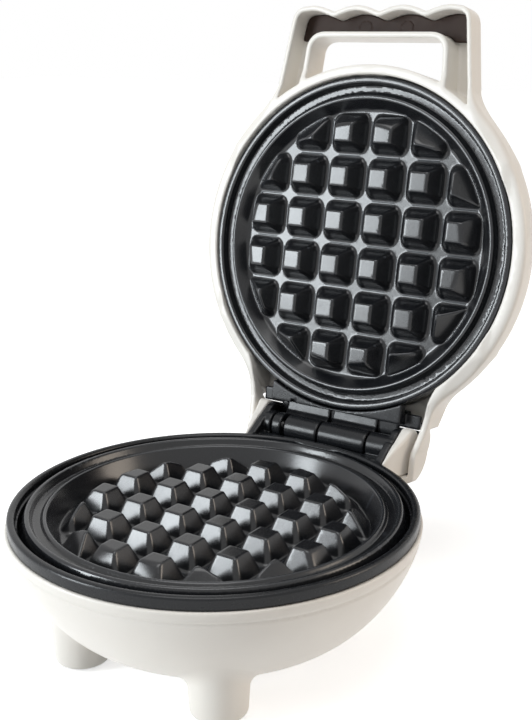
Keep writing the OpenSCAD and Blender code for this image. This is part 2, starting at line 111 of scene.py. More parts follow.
HANDLE_REACH = 79.3
HANDLE_HALF = 33.0
HANDLE_ROOT = 37.5
HANDLE_H = 10.6
HANDLE_WALL = 1.7
WAVE_DEPTH = 2.2
WAVE_PITCH = 17.2
GRIP_W = 10.6
HOLE_HALF = 24.8
HOLE_TAPER = 1.6
HOLE_WALL = 2.0
HOLE_CORNER = 5.0
STRIP_Z = 10.6          # height of the strip inside the grip
STRIP_BACK = -68.5
SCREW_X, SCREW_Y = 7.8, -73.2
SCREW_R = 2.3

HINGE_Y, HINGE_Z = 65.6, 1.2
BARREL_R = 4.4
PIN_R = 1.5
PIN_HALF = 28.4
KNUCKLE_GAP = 0.6
LID_KNUCKLES = (-20.7, -2.3, 16.1)      # start, parting and end of the lid's two knuckles
TOWER_IN, TOWER_OUT = 23.7, 26.3
TOWER_R = 7.2
EAR_R = 8.3
HINGE_BLOCK_FRONT, HINGE_BLOCK_BACK = 58, 61.2      # it is round behind that, about the axis
HINGE_BLOCK_TOP = -0.8
HINGE_SEAT_FRONT, HINGE_SEAT_LOW = 52, -9.6         # recess of the bowl for the block
CHEEK_IN, CHEEK_OUT = 31.3, 33.5
NECK_IN, NECK_OUT = 9.2, 11.2
NECK_DROP_FROM, NECK_DROP_RUN = 58, 9   # where the neck's open edge falls to the axis
BRACKET_HALF = 25.5     # half widths of the lid frame's flange, of its web and of its wings
WEB_HALF = 23.3
WING_HALF = 31
SHADE_LINING_T = 0.7          # of the black lining of the hollow behind the hinge, partly painted shade
SHADE_LINING_FRONT = 57
NOTCH_X = (-17.2, -15.4)        # a small notch in the flange
NOTCH_FRONT, NOTCH_TOP = 56.4, 4
CLOSE = 0.05            # clearance between fitted pieces

# The base's frame and the hinge, in the row frame
bezel_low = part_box("base_bezel")[0]
plate_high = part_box("base_plate")[1]
BASE_AT = Vector((0, bezel_low.y + BEZEL_R * MM, plate_high.z))
hinge = frame["joints"][0]
HINGE_AT = Vector(hinge["pos_m"])
LID_OPEN = math.radians(hinge["range_deg"][1])

# ---------- distance fields ----------


def round_union(a, b, r):
    """Union of two solids with a fillet of radius r between them."""
    blend = np.hypot(np.maximum(r - a, 0), np.maximum(r - b, 0))
    return np.maximum(r, np.minimum(a, b)) - blend


def round_cut(a, b, r):
    """What two solids share, with the edge between them rounded to radius r."""
    blend = np.hypot(np.maximum(r + a, 0), np.maximum(r + b, 0))
    return np.minimum(-r, np.maximum(a, b)) + blend


def outline(x, y, points):
    """Signed distance to a closed outline, negative inside."""
    best, inside = None, None
    for (x0, y0), (x1, y1) in zip(points, points[1:] + points[:1]):
        ex, ey = x1 - x0, y1 - y0
        if ex == ey == 0:
            continue
        wx, wy = x - x0, y - y0
        t = np.clip((wx * ex + wy * ey) / (ex * ex + ey * ey), 0, 1)
        away = (wx - ex * t) ** 2 + (wy - ey * t) ** 2
        flips = ((y0 > y) != (y1 > y)) & (wx < ex * wy / (ey or 1e-9))
        best = away if best is None else np.minimum(best, away)
        inside = flips if inside is None else inside ^ flips
    return np.where(inside, -1, 1) * np.sqrt(best)


def slab(x, low, high):
    """Signed distance to the space between two parallel planes."""
    return np.maximum(low - x, x - high)


def bend(a, b, c, n):
    """Points on a curve from a to c that is pulled towards b."""
    steps = [i / n for i in range(n + 1)]
    return [tuple(a[k] * (1 - t) ** 2 + b[k] * 2 * t * (1 - t) + c[k] * t * t for k in (0, 1))
            for t in steps]


def superellipse(a, b, curve, size_a, size_b):
    """Near distance to a superellipse in the first quadrant, a and b measured from its middle."""
    u, v = np.maximum(a, 0) / size_a, np.maximum(b, 0) / size_b
    n = np.maximum((u ** curve + v ** curve) ** (1 / curve), 0.2)
    slope = np.hypot((u / n) ** (curve - 1) / size_a, (v / n) ** (curve - 1) / size_b)
    return (n - 1) / np.maximum(slope, 1e-4)


BLOCK = 4               # grid nodes along a block's side
FAR = 9.0               # stands for the distance in blocks that the surface doesn't reach
REACH = 5.5             # steps from a block's middle within which it is filled in
PROBE = 0.02            # millimetres, for slopes
SETTLE = 3              # rounds of moving the vertices onto the surface


def mesh_field(field, low, high, step):
    """The surface where field is 0, as vertices and quads.

    The field is sampled in coarse blocks, and on the fine grid only near the surface. Surface nets
    turn it into quads, whose vertices are then moved onto the true surface.
    """
    low = np.array(low, float)
    counts = np.ceil((np.array(high) - low) / (BLOCK * step)).astype(int)
    middles = [low[k] + step * (BLOCK * np.arange(counts[k]) + (BLOCK - 1) / 2) for k in range(3)]
    grid = np.meshgrid(*middles, indexing="ij")
    coarse = field(*[g.ravel() for g in grid]).reshape(grid[0].shape)
    values = np.sign(coarse) * FAR
    for k in range(3):
        values = np.repeat(values, BLOCK, k)
    near = np.argwhere(np.abs(coarse) < REACH * step)
    corners = np.argwhere(np.ones((BLOCK,) * 3))
    nodes = (BLOCK * near[:, None] + corners[None]).reshape(-1, 3)
    values[tuple(nodes.T)] = field(*(low + step * nodes).T)

    inside = values < 0
    strides = np.array([values.shape[1] * values.shape[2], values.shape[2], 1])
    cells, crossings, quads = [], [], []
    for k in range(3):
        u, v = (k + 1) % 3, (k + 2) % 3
        first = np.take(inside, range(inside.shape[k] - 1), k)
        second = np.take(inside, range(1, inside.shape[k]), k)
        ends = np.argwhere(first != second)
        here = values[tuple(ends.T)]
        ahead = ends.copy()
        ahead[:, k] += 1
        there = values[tuple(ahead.T)]
        at = ends.astype(float)
        at[:, k] += here / (here - there)
        cell = ends @ strides
        ring = [cell, cell - strides[u], cell - strides[u] - strides[v], cell - strides[v]]
        ring = np.stack(ring, 1)
        ring = np.where((here < 0)[:, None], ring, ring[:, ::-1])
        cells.append(ring.ravel())
        crossings.append(np.repeat(at, 4, 0))
        quads.append(ring)
    names, index = np.unique(np.concatenate(cells), return_inverse=True)
    crossings = np.concatenate(crossings)
    total = np.bincount(index, minlength=len(names))
    verts = np.stack([np.bincount(index, crossings[:, k]) / total for k in range(3)], 1)
    verts = low + step * verts
    quads = index.reshape(-1, 4)

    for _ in range(SETTLE):
        here = field(*verts.T)
        slope = np.empty_like(verts)
        for k in range(3):
            moved = verts.copy()
            moved[:, k] += PROBE
            slope[:, k] = (field(*moved.T) - here) / PROBE
        size = np.maximum(np.linalg.norm(slope, axis=1), 0.3)
        shift = np.clip(here / size, -0.4 * step, 0.4 * step) / size
        verts -= slope * shift[:, None]
    return verts, quads


# ---------- turning meshes into pieces ----------


def base_place():
    return Matrix.Translation(BASE_AT)


def lid_place():
    """From the shut lid in the base's frame to the open lid in the row frame."""
    pivot = Matrix.Translation(HINGE_AT)
    opened = pivot @ Matrix.Rotation(-LID_OPEN, 4, "X") @ pivot.inverted()
    return opened @ Matrix.Translation(BASE_AT)


def new_piece(name, verts, faces, body, material, stands_for, keep=1.0):
    """A piece from vertices in millimetres in the base's frame; keep thins the mesh out."""
    mesh = bpy.data.meshes.new(name)
    mesh.from_pydata(np.asarray(verts) * MM, [], np.asarray(faces).tolist())
    mesh.transform(lid_place() if body == "lid" else base_place())
    mesh.shade_smooth()
    piece = bpy.data.objects.new(name, mesh)
    bpy.context.collection.objects.link(piece)
    if keep < 1:
        thin = piece.modifiers.new("thin", "DECIMATE")
        thin.ratio = keep
        graph = bpy.context.evaluated_depsgraph_get()
        thinned = bpy.data.meshes.new_from_object(piece.evaluated_get(graph))
        piece.modifiers.clear()
        piece.data = thinned
        thinned.name = name
        thinned.shade_smooth()
    piece.data.materials.append(material)
    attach(piece, body)
    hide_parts(*stands_for)


def field_piece(name, field, low, high, step, body, material, stands_for, keep):
    """A piece from a field, sampled between two corners."""
    verts, quads = mesh_field(field, low, high, step)
    new_piece(name, verts, quads, body, material, stands_for, keep)


def lathe(profile, spokes):
    """Vertices and faces of a closed profile of (radius, height) points turned round Z."""
    verts, faces = [], []
    n = len(profile)
    for s in range(spokes):
        a = 2 * math.pi * s / spokes
        verts += [(r * math.cos(a), r * math.sin(a), z) for r, z in profile]
    for s in range(spokes):
        t = (s + 1) % spokes
        faces += [(s * n + i, t * n + i, t * n + (i + 1) % n, s * n + (i + 1) % n)
                  for i in range(n)]
    return verts, faces


# ---------- materials ----------


def material(name):
    """A new material, its node tree and its shader."""
    mat = bpy.data.materials.new(name)
    mat.use_nodes = True
    tree = mat.node_tree
    shader = tree.nodes["Principled BSDF"]
    return mat, tree, shader


def node(tree, kind, **inputs):
    """A node with some inputs set; an underscore stands for a space in an input's name."""
    made = tree.nodes.new(kind)
    for key, value in inputs.items():
        made.inputs[key.replace("_", " ")].default_value = value
    return made


def noise(tree, scale, detail, rough=0.5):
    """Noise in the object's own space, scale being its waves per metre."""
    where = tree.nodes.new("ShaderNodeTexCoord")
    made = node(tree, "ShaderNodeTexNoise", Scale=scale, Detail=detail, Roughness=rough)
    tree.links.new(where.outputs["Object"], made.inputs["Vector"])
    return made.outputs["Fac"]


def ranged(tree, source, low, high, start=0.3, end=0.7):
    """Source from start to end, stretched to low to high."""
    made = node(tree, "ShaderNodeMapRange", From_Min=start, From_Max=end, To_Min=low, To_Max=high)
    tree.links.new(source, made.inputs["Value"])
    return made.outputs["Result"]


def mixed(tree, factor, first, second):
    """A colour from first, at factor 0, to second, at 1."""
    made = tree.nodes.new("ShaderNodeMix")
    made.data_type = "RGBA"
    tree.links.new(factor, made.inputs[0])
    for socket, value in ((made.inputs[6], first), (made.inputs[7], second)):
        if isinstance(value, tuple):
            socket.default_value = (*value, 1)
        else:
            tree.links.new(value, socket)
    return made.outputs[2]


def bumps(tree, shader, layers):
    """Layers of (height source, distance in metres), each over the one before."""
    normal = None
    for height, distance in layers:
        made = node(tree, "ShaderNodeBump", Strength=1.0, Distance=distance)
        tree.links.new(height, made.inputs["Height"])
        if normal:
            tree.links.new(normal, made.inputs["Normal"])
        normal = made.outputs["Normal"]
    tree.links.new(normal, shader.inputs["Normal"])


def edges(tree, start, end):
    """1 on sharp outer edges, 0 elsewhere; it masks a painted highlight."""
    shape = tree.nodes.new("ShaderNodeNewGeometry")
    return ranged(tree, shape.outputs["Pointiness"], 0, 1, start, end)


def moulded(name, colour, tone, roughness, grain=6e-6, grain_scale=2600, level=0.5):
    """Moulded plastic: a fine even grain, slow waves in colour and gloss."""
    mat, tree, shader = material(name)
    slow = noise(tree, 38, 4)
    fine = noise(tree, grain_scale, 2)
    tree.links.new(mixed(tree, ranged(tree, slow, 0, 1), colour, tone),
                   shader.inputs["Base Color"])
    patchy = noise(tree, 260, 5, 0.6)
    tree.links.new(ranged(tree, patchy, roughness - 0.04, roughness + 0.05),
                   shader.inputs["Roughness"])
    shader.inputs["Specular IOR Level"].default_value = level
    bumps(tree, shader, [(slow, 1.5e-5), (fine, grain)])
    return mat


def nonstick(name):
    """Charcoal non-stick coat over a casting: speckled, satin, its edges made paler by a painted highlight."""
    mat, tree, shader = material(name)
    speck = noise(tree, 2400, 2, 0.7)
    cloud = noise(tree, 60, 4)
    dark = mixed(tree, ranged(tree, speck, 0, 1, 0.35, 0.75),
                 (0.005, 0.0055, 0.0065), (0.014, 0.015, 0.018))
    # painted highlight: the coat is made paler on its sharp edges, where they catch the light
    edge_highlight = edges(tree, 0.515, 0.58)
    tree.links.new(mixed(tree, edge_highlight, dark, (0.03, 0.033, 0.038)), shader.inputs["Base Color"])
    tree.links.new(ranged(tree, cloud, 0.20, 0.26), shader.inputs["Roughness"])
    shader.inputs["Specular IOR Level"].default_value = 0.5
    bumps(tree, shader, [(cloud, 1e-5), (speck, 4e-6)])
    return mat


def metal(name, colour, roughness):
    """Plated or mill-finish metal with faint drawing marks and dull spots."""
    mat, tree, shader = material(name)
    stain = noise(tree, 220, 4)
    fine = noise(tree, 3200, 2)
    tree.links.new(mixed(tree, ranged(tree, stain, 0, 1), colour, tuple(c * 0.8 for c in colour)),
                   shader.inputs["Base Color"])
    tree.links.new(ranged(tree, stain, roughness - 0.06, roughness + 0.1),
                   shader.inputs["Roughness"])
    shader.inputs["Metallic"].default_value = 1.0
    bumps(tree, shader, [(fine, 4e-6)])
    return mat


def lens(name):
    """Clear amber lens, a little milky."""
    mat, tree, shader = material(name)
    cloud = noise(tree, 500, 3)
    tree.links.new(mixed(tree, ranged(tree, cloud, 0, 1), (0.85, 0.30, 0.04), (0.75, 0.22, 0.03)),
                   shader.inputs["Base Color"])
    tree.links.new(ranged(tree, cloud, 0.08, 0.14), shader.inputs["Roughness"])
    shader.inputs["Transmission Weight"].default_value = 0.6
    bumps(tree, shader, [(cloud, 4e-6)])
    return mat


CREAM = moulded("cream_plastic", (0.79, 0.745, 0.685), (0.82, 0.78, 0.72), 0.34)
BLACK = moulded("black_plastic", (0.007, 0.0075, 0.009), (0.012, 0.013, 0.015), 0.27,
                grain=5e-6, grain_scale=1900, level=0.3)
# the very dark brown of the grip's strip is partly painted shade of the deep channel
SHADE_BROWN = moulded("brown_plastic", (0.028, 0.016, 0.012), (0.036, 0.021, 0.016), 0.55,
                grain=1.2e-5, grain_scale=1500, level=0.2)
RUBBER = moulded("grey_rubber", (0.03, 0.028, 0.027), (0.045, 0.042, 0.04), 0.7, 2e-5, 1400)
TAN = moulded("phenolic", (0.40, 0.30, 0.19), (0.46, 0.35, 0.22), 0.5, 1e-5, 1500)
CERAMIC = moulded("white_ceramic", (0.78, 0.75, 0.70), (0.82, 0.79, 0.75), 0.2, 4e-6, 900)
SLEEVE = moulded("lead_sleeve", (0.70, 0.68, 0.62), (0.76, 0.74, 0.68), 0.8, 6e-5, 1800)
COAT = nonstick("nonstick_casting")
STEEL = metal("steel", (0.60, 0.60, 0.60), 0.32)
SHEATH = metal("heater_sheath", (0.30, 0.27, 0.25), 0.45)
SHEET = metal("aluminium_sheet", (0.78, 0.78, 0.79), 0.25)
AMBER = lens("amber_lens")
BY_SLOT = {
    "cream_plastic": CREAM, "black_plastic": BLACK, "brown_plastic": SHADE_BROWN,
    "grey_rubber": RUBBER, "phenolic": TAN, "white_ceramic": CERAMIC, "lead_sleeve": SLEEVE,
    "nonstick_casting": COAT, "steel": STEEL, "heater_sheath": SHEATH,
    "aluminium_sheet": SHEET, "amber_lens": AMBER,
}


def dress_cad_nodes():
    """Gives every CAD node the material of its slot in the record."""
    for part in frame["record"]["subparts"]:
        shown = frame["nodes"][part["node"]]
        shown.data.materials.clear()
        shown.data.materials.append(BY_SLOT[part["material_slot"]])


# ---------- cooking plates ----------


def plate_field(rings):
    """A plate with its cooking side up and its floor at z = 0."""
    (floor_r, _), (bank_r, bank_h) = rings[:2]
    run = (bank_r - floor_r) / bank_h       # of the sloping wall, for each millimetre of height
    rim = [(floor_r - PLATE_T * run, -PLATE_T)] + rings[1:] + [(floor_r + 1.5, -PLATE_T)]
    side = (STUD_BASE - STUD_TOP) / 2 / STUD_H
    lean = 1 / math.hypot(1, side)
    mouth_lean = 1 / math.hypot(1, MOUTH_SLOPE)

    def field(x, y, z):
        r = np.hypot(x, y)
        floor = np.maximum(slab(z, -PLATE_T, 0), r - 50)
        body = round_union(floor, outline(r, z, rim), 0.9)
        u = np.abs(x - PITCH * np.floor(x / PITCH) - PITCH / 2)
        v = np.abs(y - PITCH * np.floor(y / PITCH) - PITCH / 2)
        half = STUD_BASE / 2 - side * z
        corner = np.clip(STUD_CORNER - STUD_TIGHTEN * z, 0.5, STUD_CORNER)
        stud = round_cut((u - half) * lean, (v - half) * lean, corner)
        stud = round_cut(stud, z - STUD_H, 0.4)
        stud = round_cut(stud, (r - FLOOR_R + MOUTH_SLOPE * z) * mouth_lean, 0.8)
        empty_corner = (np.abs(x) > 2 * PITCH) & (np.abs(y) > 2 * PITCH)
        stud = np.where(empty_corner, 3.0, np.maximum(stud, -1 - z))
        return round_union(body, stud, 0.7)

    return field


def cooking_plates():
    """Both plates: the lid's is turned over to face the base's."""
    step = 0.4
    for name, body, rings in (("base_plate_cast", "base", BASE_RINGS),
                              ("lid_plate_cast", "lid", LID_RINGS)):
        reach = max(r for r, _ in rings) + 1
        verts, quads = mesh_field(plate_field(rings), (-reach, -reach, -PLATE_T - 1),
                                  (reach, reach, 9.5), step)
        if body == "lid":
            verts[:, 2] = SHUT_FLOOR - verts[:, 2]
            quads = quads[:, ::-1]
        else:
            verts[:, 2] -= BASE_DEPTH
        new_piece(name, verts, quads, body, COAT, [body + "_plate"], 0.6)


# ---------- base ----------


def bowl_distance(x, y, z):
    """Distance to the bowl's outer surface."""
    r = np.hypot(x, y)
    return superellipse(r - BOWL_FLAT_R, -BEZEL_H - z, BOWL_CURVE, BOWL_R - BOWL_FLAT_R, BOWL_H)


# Side view of an ear, as (y, z): its back up to the slope's end, and its front under the slope
EAR_SLOPE = [(51, -16), (53.5, -0.6), (56, 0.6), (69.6, 8.5), (76, 8.5), (76, -16)]
EAR_FRONT = [(51, -16), (53.5, -0.6), (56, 0.6), (62.4, 4.3), (62.4, -16)]


def ear_profile(y, z, radius):
    """Side view of an ear or a tower: a slope from the bezel, rounded off behind the axis."""
    rho = np.hypot(y - HINGE_Y, z - HINGE_Z)
    back = round_cut(outline(y, z, EAR_SLOPE), rho - radius, 1.6)
    return round_union(back, outline(y, z, EAR_FRONT), 0.4)


EAR_PLAN = [(TOWER_OUT + 0.2, 50), (TOWER_OUT + 0.2, 76), (30.9, 76), (30.9, 70),
            (28.2, 58), (27.2, 54), (27.2, 50)]


def housing_field(x, y, z):
    """The bowl with its feet, the boss of the inlet, and the ears."""
    ax, ay = np.abs(x), np.abs(y)
    r = np.hypot(x, y)
    outside = bowl_distance(x, y, z)
    seam = np.hypot(outside, (z - SEAM_Z) * 0.8) - 0.32
    bowl = round_cut(outside, -seam, 0.2)
    # feet, a little wider where they leave the bowl
    down = -BEZEL_H - BOWL_H - z
    foot = np.hypot(ax - FOOT_X, ay - FOOT_Y) - (FOOT_R + 0.3 - 0.06 * down)
    foot = round_cut(foot, slab(z, FOOT_END - BASE_AT.z / MM, -20), 1.3)
    solid = round_union(bowl, foot, 2.4)
    # boss of the cord inlet
    tube = np.hypot(x, z - INLET_Z)
    boss = round_cut(tube - INLET_HALF - BOSS_WALL, slab(y, BOSS_FRONT, BOSS_BACK), 0.8)
    solid = round_union(solid, boss, 1.5)
    # hollow below the bezel's seat
    inner = outside + SKIN
    solid = round_cut(solid, -inner, 0.4)
    solid = round_cut(solid, z + BEZEL_H, 0.5)
    # ears
    ear = round_cut(outline(ax, y, EAR_PLAN), ear_profile(y, z, EAR_R), 0.9)
    ear = np.maximum(ear, np.where(z < -BEZEL_H, -inner, -9))
    solid = round_union(solid, ear, 0.8)
    # seats of the bezel and of the hinge block
    solid = round_cut(solid, -np.maximum(r - BEZEL_R - 0.1, -BEZEL_H - z), 0.35)
    seat = np.maximum(ax - TOWER_OUT - 0.1, HINGE_SEAT_FRONT - y)
    seat = np.maximum(seat, slab(z, HINGE_SEAT_LOW, 12))
    solid = round_cut(solid, -seat, 0.25)
    bush = np.maximum(ax, np.abs(z - INLET_Z)) - INLET_HALF - CLOSE
    bush = np.maximum(bush, BUSH_FRONT - y)
    return np.maximum(solid, -bush)


# Section of the bezel's ring, as (radius, z)
BEZEL = [(58.6, -2.6), (58.6, -0.6), (59.2, 0), (60.2, 0), (60.75, -0.25), (BEZEL_R, -0.8),
         (BEZEL_R, -BEZEL_H), (BOWL_R - SKIN - 0.2, -BEZEL_H), (BOWL_R - SKIN - 0.2, -5),
         (BOWL_R - SKIN - 1.7, BEZEL_LOW), (BEZEL_IN, BEZEL_LOW), (BEZEL_IN, WELL_FLOOR),
         (WELL_R, WELL_FLOOR), (WELL_R, -2.6)]


def bezel_field(x, y, z):
    """The bezel's ring with its hinge block, towers and two short knuckles."""
    ax = np.abs(x)
    rho = np.hypot(y - HINGE_Y, z - HINGE_Z)
    ring = outline(np.hypot(x, y), z, BEZEL)
    back = np.minimum(rho - EAR_R, np.maximum(y - HINGE_BLOCK_BACK, 50 - y))
    block = np.maximum(slab(z, BEZEL_LOW, HINGE_BLOCK_TOP), slab(y, HINGE_BLOCK_FRONT, 76))
    block = round_cut(np.maximum(block, ax - TOWER_OUT), back, 0.5)
    tower = round_cut(slab(ax, TOWER_IN, TOWER_OUT), ear_profile(y, z, TOWER_R), 0.5)
    tower = np.maximum(tower, BEZEL_LOW - z)
    lids = slab(x, LID_KNUCKLES[0] - KNUCKLE_GAP, LID_KNUCKLES[2] + KNUCKLE_GAP)
    knuckle = round_cut(np.maximum(ax - TOWER_OUT, -lids), rho - BARREL_R, 0.5)
    solid = round_union(np.minimum(ring, block), np.minimum(tower, knuckle), 0.4)
    trough = np.maximum(rho - BARREL_R - 0.5, lids)
    well = np.maximum(np.hypot(x, y) - WELL_R, WELL_FLOOR - z)
    return round_cut(round_cut(solid, -trough, 0.25), -well, 0.2)


def foot_pads():
    """Rubber pads, let into the ends of the feet."""
    profile = [(0, 2), (PAD_R, 2), (PAD_R, 0.6), (PAD_R - 0.2, 0.18), (PAD_R - 0.6, 0),
               (1.8, 0), (1.2, 0.3), (0, 0.3)]
    verts, faces = lathe(profile, 48)
    floor = -BASE_AT.z / MM
    all_verts, all_faces = [], []
    for sx in (-1, 1):
        for sy in (-1, 1):
            start = len(all_verts)
            all_verts += [(x + sx * FOOT_X, y + sy * FOOT_Y, z + floor) for x, y, z in verts]
            all_faces += [tuple(i + start for i in face) for face in faces]
    new_piece("foot_pad_set", all_verts, all_faces, "base", RUBBER, ["foot_pads"])


def base_pieces():
    """The bowl, the bezel and the pads."""
    step = 0.6
    field_piece("base_bowl", housing_field, (-64, -64, -46), (64, 76, 10), step, "base", CREAM,
                ["base_housing"], 0.7)
    step = 0.36
    field_piece("bezel_ring", bezel_field, (-63, -63, -11), (63, 75, 10), step, "base", BLACK,
                ["base_bezel"], 0.6)
    foot_pads()


# ---------- lid ----------


def wave(x):
    """Front edge of the grip at x."""
    swing = np.abs(math.sin(math.pi * x / WAVE_PITCH))
    return -HANDLE_REACH + WAVE_DEPTH * (1 - math.sqrt(swing * swing + 0.004))


def handle_outline():
    """Right half of the handle's plan, closed well inside the lid."""
    w, front, corner = HANDLE_HALF, -HANDLE_REACH, 5.0
    count = 26
    last = w - corner
    points = [(last * i / count, wave(last * i / count)) for i in range(count + 1)]
    points += bend(points.pop(), (w + 0.2, front + 0.4), (w + 0.6, front + 6), 7)
    points += bend((HANDLE_ROOT - 0.8, -52), (HANDLE_ROOT + 1, -41), (50.5, -30), 9)
    return [(-40, points[0][1])] + points + [(50.5, -10), (-40, -10)]


HANDLE = handle_outline()
HOLE_BACK = -HANDLE_REACH + GRIP_W
HOLE = ([(-40, HOLE_BACK)] + bend((HOLE_HALF - HOLE_CORNER, HOLE_BACK), (HOLE_HALF, HOLE_BACK),
                                  (HOLE_HALF, HOLE_BACK + HOLE_CORNER), 7)
        + [(HOLE_HALF + HOLE_TAPER, -42), (-40, -42)])
# Plan (x, y) and side view (y, z) of the neck that reaches back over the hinge
NECK = ([(-40, 10), (50.5, 10), (50.5, 30)] + bend((50.5, 30), (38.5, 41), (36.6, 50), 9)
        + [(CHEEK_OUT, 66), (CHEEK_OUT, 80), (-40, 80)])
NECK_SIDE = [(10, -20), (10, 21), (45, 18.2), (69, 11.9), (76, 9), (76, -20)]


def neck_edge(y):
    """Height of the open edge of the neck's wall."""
    drop = np.clip((y - NECK_DROP_FROM) / NECK_DROP_RUN, 0, 1)
    return LID_EDGE + (HINGE_Z - LID_EDGE) * drop


def shell_outside(x, y, z):
    """The lid's shell before it is hollowed: dome, handle and neck."""
    ax = np.abs(x)
    dome = superellipse(np.hypot(x, y), z - DOME_Z, DOME_CURVE, DOME_R, LID_TOP - DOME_Z)
    dome = round_cut(dome, LID_EDGE - z, 1.7)
    handle = round_cut(outline(ax, y, HANDLE), z - LID_EDGE - HANDLE_H, 3.6)
    handle = round_cut(handle, LID_EDGE - z, 0.5)
    solid = round_union(dome, handle, 3.5)
    rho = np.hypot(y - HINGE_Y, z - HINGE_Z)
    plan = outline(ax, y, NECK)
    top = round_cut(outline(y, z, NECK_SIDE), np.where(y > HINGE_Y - 8, rho - NECK_OUT, -4), 1.0)
    neck = round_cut(plan, top, 2.5)
    neck = round_cut(neck, neck_edge(y) - z, 0.4)
    return round_union(solid, neck, 3.0)


def neck_room(ax, y, z):
    """The hollow behind the hinge."""
    rho = np.hypot(y - HINGE_Y, z - HINGE_Z)
    room = np.maximum(outline(ax, y, NECK) + SKIN, outline(y, z, NECK_SIDE) + SKIN)
    return np.maximum(room, np.where(y > HINGE_Y - 6, rho - NECK_IN, -4))


def shell_field(x, y, z):
    """The lid's shell."""
    ax, r = np.abs(x), np.hypot(x, y)
    solid = shell_outside(x, y, z)
    # channel of the grip, round the wall of the hand hole
    hole = outline(ax, y, HOLE)
    channel = round_cut(outline(ax, y, HANDLE) + HANDLE_WALL, HOLE_WALL - hole, 1.2)
    channel = round_cut(channel, LID_R - 0.4 - r, 0.6)
    channel = round_cut(channel, z - LID_EDGE - HANDLE_H + 2, 1.0)
    solid = round_cut(solid, -channel, 0.6)
    through = round_cut(hole, LID_R - 0.1 - r, 1.2)
    solid = round_cut(solid, -through, 0.7)
    # inside of the dome and of the neck
    dome = superellipse(r, z - DOME_Z, DOME_CURVE, DOME_R, LID_TOP - DOME_Z) + SKIN
    dome = np.maximum(dome, r - SEAT_R)
    cavity = np.minimum(dome, neck_room(ax, y, z))
    solid = round_cut(solid, -cavity, 0.4)
    lens_hole = np.maximum(r - LENS_R - CLOSE, LID_TOP - 8 - z)
    return np.maximum(solid, -lens_hole)


# Section of the lid frame's ring, as (radius, z), then side views of its parts, as (y, z)
RING = [(53, 9.4), (56.3, 9.4), (55.5, 12), (54, 14), (52.9, 15.2), (51.8, 15.2),
        (51.8, 13.8), (53, 12.8)]
BRACKET = [(44, 2.9), (57.3, 2.9), (57.3, 11.4), (53.6, 11.4), (53.6, 6.2), (44, 6.2)]
WEB = [(56.8, 7.2), (62.5, 7.2), (62.5, 8.4), (56.8, 8.4)]
WING = [(54, 7.2), (58.8, 7.2), (58.8, 8.4), (54, 8.4)]
ARM = [(57, 6.6), (60.5, 6.0), (62.4, 4.4), (HINGE_Y, 3.9), (HINGE_Y, 5.3), (62.4, 7.2),
       (57, 7.8)]


def lid_frame_field(x, y, z):
    """The black frame behind the lid's plate: ring, flange, web, a lining whose black is partly painted shade, and
    the lid's knuckles.
    """
    ax, r = np.abs(x), np.hypot(x, y)
    rho = np.hypot(y - HINGE_Y, z - HINGE_Z)
    bracket = round_cut(outline(y, z, BRACKET), ax - BRACKET_HALF, 0.3)
    web = np.minimum(round_cut(outline(y, z, WEB), ax - WEB_HALF, 0.3),
                     round_cut(outline(y, z, WING), ax - WING_HALF, 0.3))
    # thin black lining of the hollow behind the hinge: partly a black part, partly a dark sheet that paints the
    # deep shade inside the neck
    room = neck_room(ax, y, z)
    shade_lining = np.maximum(room + CLOSE, -room - CLOSE - SHADE_LINING_T)
    shade_lining = np.maximum(shade_lining, np.maximum(SHADE_LINING_FRONT - y, EAR_R + 0.4 - rho))
    shade_lining = np.maximum(shade_lining, np.maximum(neck_edge(y) + 0.5 - z, ax - CHEEK_IN + CLOSE))
    web = np.minimum(web, shade_lining)
    start, middle, end = LID_KNUCKLES
    across = np.maximum(slab(x, start, end), KNUCKLE_GAP / 2 - np.abs(x - middle))
    knuckle = round_cut(rho - BARREL_R, across, 0.5)
    arm = round_cut(outline(y, z, ARM), across + 0.4, 0.3)
    solid = round_union(np.minimum(bracket, web), round_union(knuckle, arm, 0.5), 0.3)
    solid = np.minimum(solid, outline(r, z, RING))
    edge = np.maximum(r - SEAT_R + CLOSE, z - SHUT_FLOOR - 1 - CLOSE)
    notch = np.maximum(np.maximum(slab(x, *NOTCH_X), NOTCH_FRONT - y), z - NOTCH_TOP)
    bore = rho - PIN_R - CLOSE
    return np.maximum(np.maximum(round_cut(solid, -edge, 0.2), -notch), -bore)


def indicator():
    """Domed lens with a small collar, let into the top of the lid."""
    low = LID_TOP - 3.6
    dome = [(LENS_R * math.cos(a), LID_TOP + 0.1 + 0.5 * math.sin(a))
            for a in np.linspace(0, math.pi / 2, 9)]
    verts, faces = lathe([(LENS_R, low)] + dome + [(0, low)], 48)
    new_piece("indicator_dome", verts, faces, "lid", AMBER, ["indicator_lens"])


def pin():
    """The hinge pin, its ends slightly rounded."""
    end, bevel = PIN_HALF, 0.3
    profile = [(0, -end), (PIN_R - bevel, -end), (PIN_R, bevel - end),
               (PIN_R, end - bevel), (PIN_R - bevel, end), (0, end)]
    verts, faces = lathe(profile, 32)
    verts = [(z, HINGE_Y + x, HINGE_Z + y) for x, y, z in verts]
    new_piece("hinge_rod", verts, faces, "base", STEEL, ["hinge_pin"])


def grip_shade_strip():
    """Dark brown strip deep in the hollow grip, with the rims of its two sunk screws; its dark colour is partly
    painted shade of the deep channel.
    """
    def field(x, y, z):
        ax = np.abs(x)
        plan = round_cut(outline(ax, y, HANDLE) + HANDLE_WALL + 0.15,
                         HOLE_WALL + 0.15 - outline(ax, y, HOLE), 1.0)
        plan = np.maximum(plan, y - STRIP_BACK)
        strip = round_cut(plan, slab(z, STRIP_Z, LID_EDGE + HANDLE_H - 2.1), 0.2)
        away = np.hypot(ax - SCREW_X, y - SCREW_Y)
        groove = np.maximum(np.abs(away - SCREW_R) - 0.14, z - STRIP_Z - 0.3)
        return np.maximum(strip, -groove)

    step = 0.36
    field_piece("grip_shade_strip", field, (-35, -80, STRIP_Z - 1), (35, -67, 13.5), step, "lid", SHADE_BROWN,
                ["handle_insert", "handle_screws"], 0.6)


